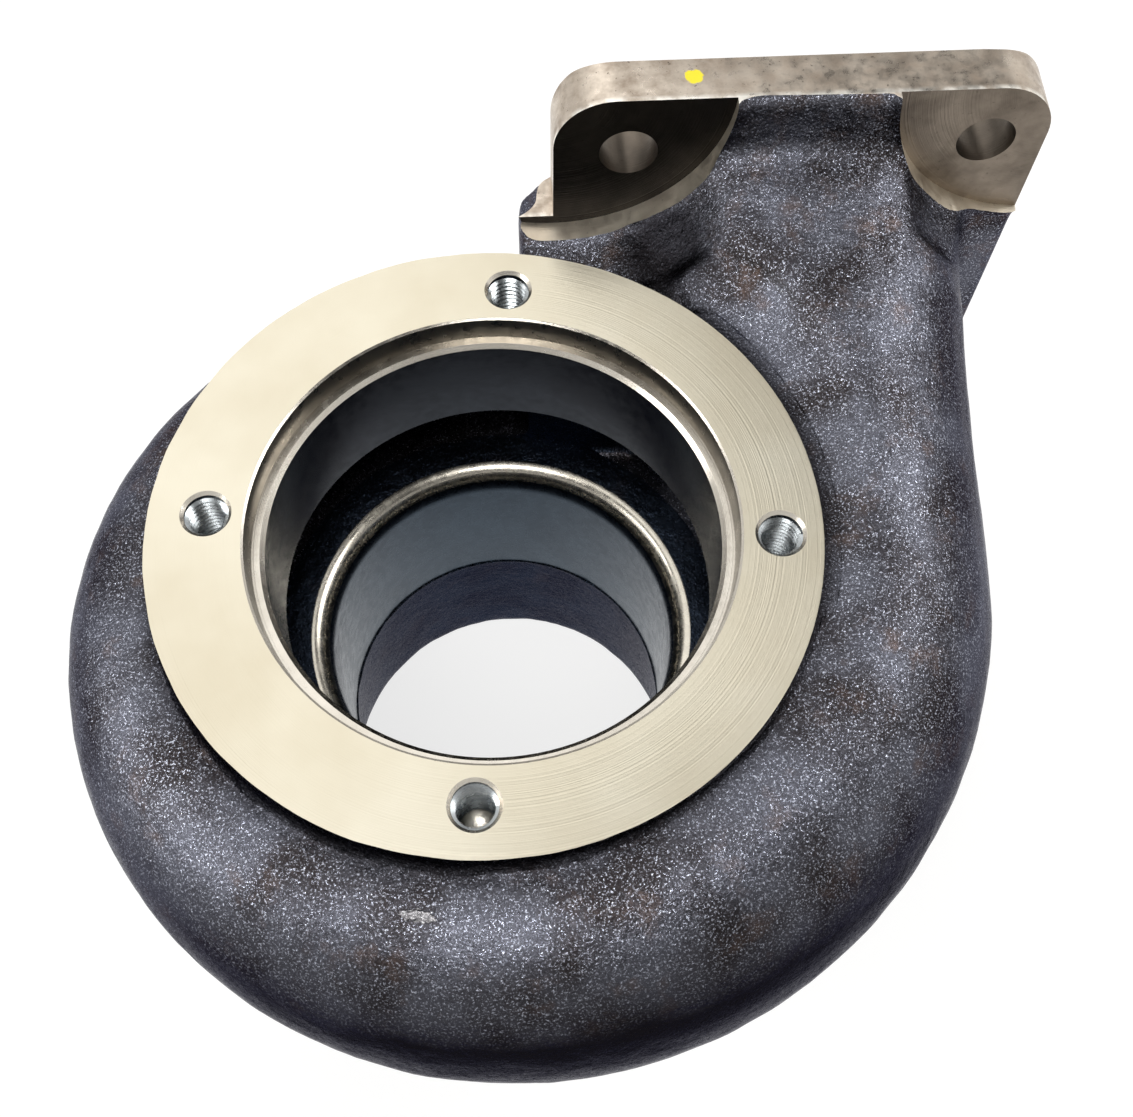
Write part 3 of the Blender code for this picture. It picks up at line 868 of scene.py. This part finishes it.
spots, bolts = [], []
for name, (base, stain) in SEATS.items():
    centre = spot_centres[name]
    seat_finish = steel_finish(f"spot_face_{name}", base, stain, 0.40,
                               (centre, "XZ"), 0.11, 0.9)
    spot_cut = rod(f"spot_cut_{name}", SPOT_RADIUS, centre,
                   SPOT_FLOOR - SPOT_REACH, SPOT_FLOOR, 128)
    spots.append(dress(spot_cut, lambda face: seat_finish if face.normal.y > 0.9
                       else drill_steel))
    sx, sz = CORNERS[name]
    centre = Vector((FLANGE_X + sx * BOLT.x, 0, SCROLL_Z + sz * BOLT.z))
    bolt_cut = rod(f"bolt_cut_{name}", BOLT_RADIUS, centre,
                   FLANGE_BACK_Y - SINK, INLET_Y + SINK, 48)
    bolts.append(dress(bolt_cut, lambda face: bolt_steel))
port = block("port_cut",
             (PORT_X - PORT_HALF_WIDTH, FLANGE_BACK_Y - 0.0135,
              SCROLL_Z - PORT_HALF_HEIGHT),
             (PORT_X + PORT_HALF_WIDTH, INLET_Y + 0.005, SCROLL_Z + PORT_HALF_HEIGHT),
             bevel=PORT_ROUNDING, lengthways=Y, segments=10)
cut(casting, [joined("spot_cuts", spots + [dress(port, lambda face: cast_throat)])],
    transfer=True)
cut(casting, [joined("bolt_cuts", bolts)], transfer=True)
print("faces after the spot faces:", len(casting.data.polygons))

# %% [markdown]
# The machined casting takes the place of the imported housing. It moves with the
# record's one body. Smooth shading by angle keeps the machined edges crisp, while
# the cast skin reads as one surface.

# %% Put the housing in its place
activate(casting)
bpy.ops.object.shade_smooth_by_angle(angle=math.radians(30))
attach(casting, "root")
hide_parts(NODE)
print("faces in the machined housing:", len(casting.data.polygons),
      "finishes:", len(casting.data.materials))

# %% [markdown]
# A thread is a ridge that climbs as it goes round. Its section is drawn once,
# the Screw modifier carries it up the hole by 1.25 mm a turn, and the open ends
# are filled. The finished thread is then copied into the other three holes.

# %% Threads in the stud holes
PITCH = 0.00125
THREAD_TURNS = 11
THREAD_START = 0.0149
THREAD_FOOT = (0.00410, 0, -0.00056)
THREAD_SECTION = ((-0.00070, 0, 0.00046), (0, 0, 0.00020), (0.00070, 0, 0.00046))

deselect()
bpy.ops.mesh.primitive_plane_add(size=0.01)
bpy.ops.object.mode_set(mode="EDIT")
bpy.ops.mesh.select_mode(type="VERT")
bpy.ops.mesh.select_all(action="SELECT")
bpy.ops.mesh.merge(type="CENTER")
bpy.ops.transform.translate(value=THREAD_FOOT)
for step in THREAD_SECTION:
    bpy.ops.mesh.extrude_region_move(TRANSFORM_OT_translate={"value": step})
bpy.ops.object.mode_set(mode="OBJECT")
thread = bpy.context.object
feet = sorted(thread.data.vertices, key=lambda vert: -vert.co.x)[:2]
for vert in thread.data.vertices:
    vert.select = vert in feet
bpy.ops.object.mode_set(mode="EDIT")
bpy.ops.mesh.edge_face_add()
bpy.ops.object.mode_set(mode="OBJECT")
climb = thread.modifiers.new("climb", "SCREW")
climb.screw_offset = PITCH
climb.iterations = THREAD_TURNS
climb.steps = climb.render_steps = 32
bpy.ops.object.modifier_apply(modifier=climb.name)
bpy.ops.object.mode_set(mode="EDIT")
bpy.ops.mesh.select_all(action="SELECT")
bpy.ops.mesh.fill_holes(sides=4)
bpy.ops.mesh.select_all(action="SELECT")
bpy.ops.mesh.normals_make_consistent(inside=False)
bpy.ops.object.mode_set(mode="OBJECT")
thread.data.materials.append(thread_steel)
bpy.ops.object.shade_smooth_by_angle(angle=math.radians(30))
print("faces in one thread:", len(thread.data.polygons))

# %% One thread for each hole
for i, place in enumerate(stud_tops):
    activate(thread)
    if i < len(stud_tops) - 1:
        bpy.ops.object.duplicate(linked=False)
    ridge = bpy.context.object
    ridge.location = place - Vector((0, 0, THREAD_START))
    settle(f"stud_thread_{i + 1}")
    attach(ridge, "root")
print("threads start this far below the ring's face:", THREAD_START)

# %% [markdown]
# One small scab of iron stands on the scroll's shoulder, where the mould broke a
# little. It could be part of the casting's own bumps, but a separate flattened
# ball is easier to place. Clouds roughen it that are much finer than those of
# the casting.

# %% Scab on the scroll's shoulder
SCAB_PLACE = AXIS + Vector((-0.0142, -0.0671, RING_Z - 0.0046))
SCAB_HALVES = (0.0030, 0.0011, 0.0009)
TORN_SIZE, TORN_HEIGHT = 0.0009, 0.0011

deselect()
bpy.ops.mesh.primitive_ico_sphere_add(subdivisions=5, radius=1.0)
bpy.context.object.scale = SCAB_HALVES
bpy.context.object.rotation_euler = (math.radians(24), 0.0, math.radians(-12))
bpy.context.object.location = SCAB_PLACE
scab = settle("shoulder_scab")
torn = bpy.data.textures.new("torn_mould", "CLOUDS")
torn.noise_scale = TORN_SIZE
lumps = scab.modifiers.new("lumps", "DISPLACE")
lumps.texture = torn
lumps.texture_coords = "LOCAL"
lumps.strength = TORN_HEIGHT
bpy.ops.object.modifier_apply(modifier=lumps.name)
bpy.ops.object.shade_smooth()
scab.data.materials.append(cast_finish("scab_iron", (0.30, 0.29, 0.30),
                                       (0.70, 0.70, 0.72), 0.0, (0.45, 0.44, 0.45)))
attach(scab, "root")
print("faces in the scab:", len(scab.data.polygons))

# %% [markdown]
# The studio is plain: a pale floor, a round pale backdrop, a dim white sky and
# four soft lamps. Bright metal shows what is around it, so all of it is large
# and pale, which gives the ring its wide sheen and keeps the dark casting
# readable. The camera and the reflections see a floor that glows evenly, with a
# thin share of ordinary paper that carries the shadow. Every other ray meets
# plain paper.

# %% Floor
PAPER, WARM_PAPER = (0.93, 0.93, 0.93), (0.95, 0.948, 0.943)
SHADOW_PAPER = (0.26, 0.257, 0.250, 1.0)
GLOW = 0.78

deselect()
bpy.ops.mesh.primitive_grid_add(x_subdivisions=8, y_subdivisions=8, size=4.0)
floor = settle("studio_floor")
paper, tree, shader, mm = new_material("pale_floor", PAPER, 0.0, 0.85)
tone = spread(tree, noise(tree, mm, 0.004, 3.0), 0.3, 0.7)
tree.links.new(mixed(tree, tone, PAPER, WARM_PAPER), shader.inputs["Base Color"])
mix = tree.nodes.new("ShaderNodeMixShader")
both = tree.nodes.new("ShaderNodeAddShader")
glow = tree.nodes.new("ShaderNodeEmission")
glow.inputs["Strength"].default_value = GLOW
thin_paper = tree.nodes.new("ShaderNodeBsdfDiffuse")
thin_paper.inputs["Color"].default_value = SHADOW_PAPER
seen = tree.nodes.new("ShaderNodeLightPath").outputs
direct = maths(tree, "MAXIMUM", seen["Is Camera Ray"], seen["Is Glossy Ray"])
through = maths(tree, "MAXIMUM", direct, seen["Is Transmission Ray"])
tree.links.new(through, mix.inputs["Fac"])
tree.links.new(glow.outputs["Emission"], both.inputs[0])
tree.links.new(thin_paper.outputs["BSDF"], both.inputs[1])
tree.links.new(shader.outputs["BSDF"], mix.inputs[1])
tree.links.new(both.outputs["Shader"], mix.inputs[2])
tree.links.new(mix.outputs["Shader"], tree.nodes["Material Output"].inputs["Surface"])
floor.data.materials.append(paper)
print("floor size:", tuple(floor.dimensions))

# %% Backdrop round the floor
BACKDROP_RADIUS, BACKDROP_HEIGHT = 1.9, 1.6
deselect()
bpy.ops.mesh.primitive_cylinder_add(vertices=96, radius=BACKDROP_RADIUS,
                                    depth=BACKDROP_HEIGHT, end_fill_type="NOTHING",
                                    location=(0, 0, BACKDROP_HEIGHT / 2 - 0.01))
backdrop = settle("studio_backdrop")
bpy.ops.object.shade_smooth()
backdrop.data.materials.append(paper)
print("backdrop size:", tuple(backdrop.dimensions))

# %% [markdown]
# One lamp alone would leave the dark iron black on its far side, so there are
# four. The largest hangs high behind the housing, where the flat ring mirrors it
# towards the camera. A small one near the camera lifts the front, and one on
# each side draws the edges of the neck and the scroll.

# %% Lamps and sky
HOUSING_MIDDLE = (0.0, 0.0, 0.10)
SKY_STRENGTH = 0.06


def lamp(name, place, size, power):
    """A soft rectangular lamp that faces the housing."""
    deselect()
    bpy.ops.object.light_add(type="AREA", location=place)
    light = bpy.context.object
    light.name = name
    light.data.shape = "RECTANGLE"
    light.data.size, light.data.size_y = size
    light.data.energy = power
    sight = Vector(HOUSING_MIDDLE) - Vector(place)
    light.rotation_euler = sight.to_track_quat("-Z", "Y").to_euler()


lamp("back_softbox", (-0.25, 0.50, 1.05), (1.0, 1.0), 5.0)
lamp("camera_softbox", (-0.10, -0.34, 1.00), (0.35, 0.30), 4.4)
lamp("right_softbox", (0.78, 0.20, 0.86), (0.45, 0.50), 4.8)
lamp("left_softbox", (-0.90, -0.10, 0.60), (0.50, 0.50), 4.4)
sky = bpy.data.worlds.new("studio_sky")
bpy.context.scene.world = sky
sky.use_nodes = True
background = sky.node_tree.nodes["Background"]
background.inputs["Color"].default_value = (1.0, 1.0, 1.0, 1.0)
background.inputs["Strength"].default_value = SKY_STRENGTH
bpy.context.scene.view_settings.view_transform = "Standard"
